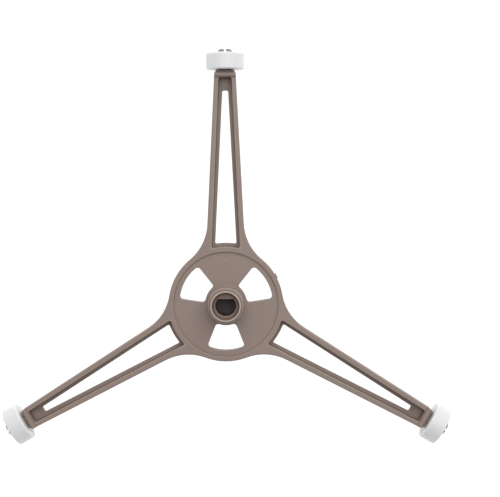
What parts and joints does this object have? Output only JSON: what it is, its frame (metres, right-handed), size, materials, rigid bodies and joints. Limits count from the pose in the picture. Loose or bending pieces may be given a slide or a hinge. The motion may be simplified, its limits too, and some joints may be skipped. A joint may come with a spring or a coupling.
{
  "type": "microwave roller ring",
  "caption": "Y-shaped plastic carrier with slotted, ribbed arms, a free-turning roller snapped on each arm's end, and a central boss whose socket has one flat for the drive shaft.",
  "frame": {"origin": "where the hub's axis crosses the plane of the three roller axles, inside the drive socket", "axes": "+Z along the hub's axis, out of the socket's mouth; +Y along the first arm, towards roller_1"},
  "size_m": [0.1824, 0.1596, 0.0225],
  "materials": {
    "carrier_plastic": "taupe brown moulded plastic, fine satin",
    "roller_plastic": "white low-friction plastic, satin"
  },
  "bodies": {
    "carrier": {"carrier": "carrier_plastic"},
    "roller_1": {"roller_1": "roller_plastic"},
    "roller_2": {"roller_2": "roller_plastic"},
    "roller_3": {"roller_3": "roller_plastic"}
  },
  "joints": [
    {"name": "roller_1_spin", "type": "hinge", "parent": "carrier", "child": "roller_1", "pos_m": [0, 0.0978, 0], "axis": [0, 1, 0], "continuous": true},
    {"name": "roller_2_spin", "type": "hinge", "parent": "carrier", "child": "roller_2", "pos_m": [-0.0847, -0.0489, 0], "axis": [-0.866, -0.5, 0], "continuous": true},
    {"name": "roller_3_spin", "type": "hinge", "parent": "carrier", "child": "roller_3", "pos_m": [0.0847, -0.0489, 0], "axis": [0.866, -0.5, 0], "continuous": true}
  ]
}
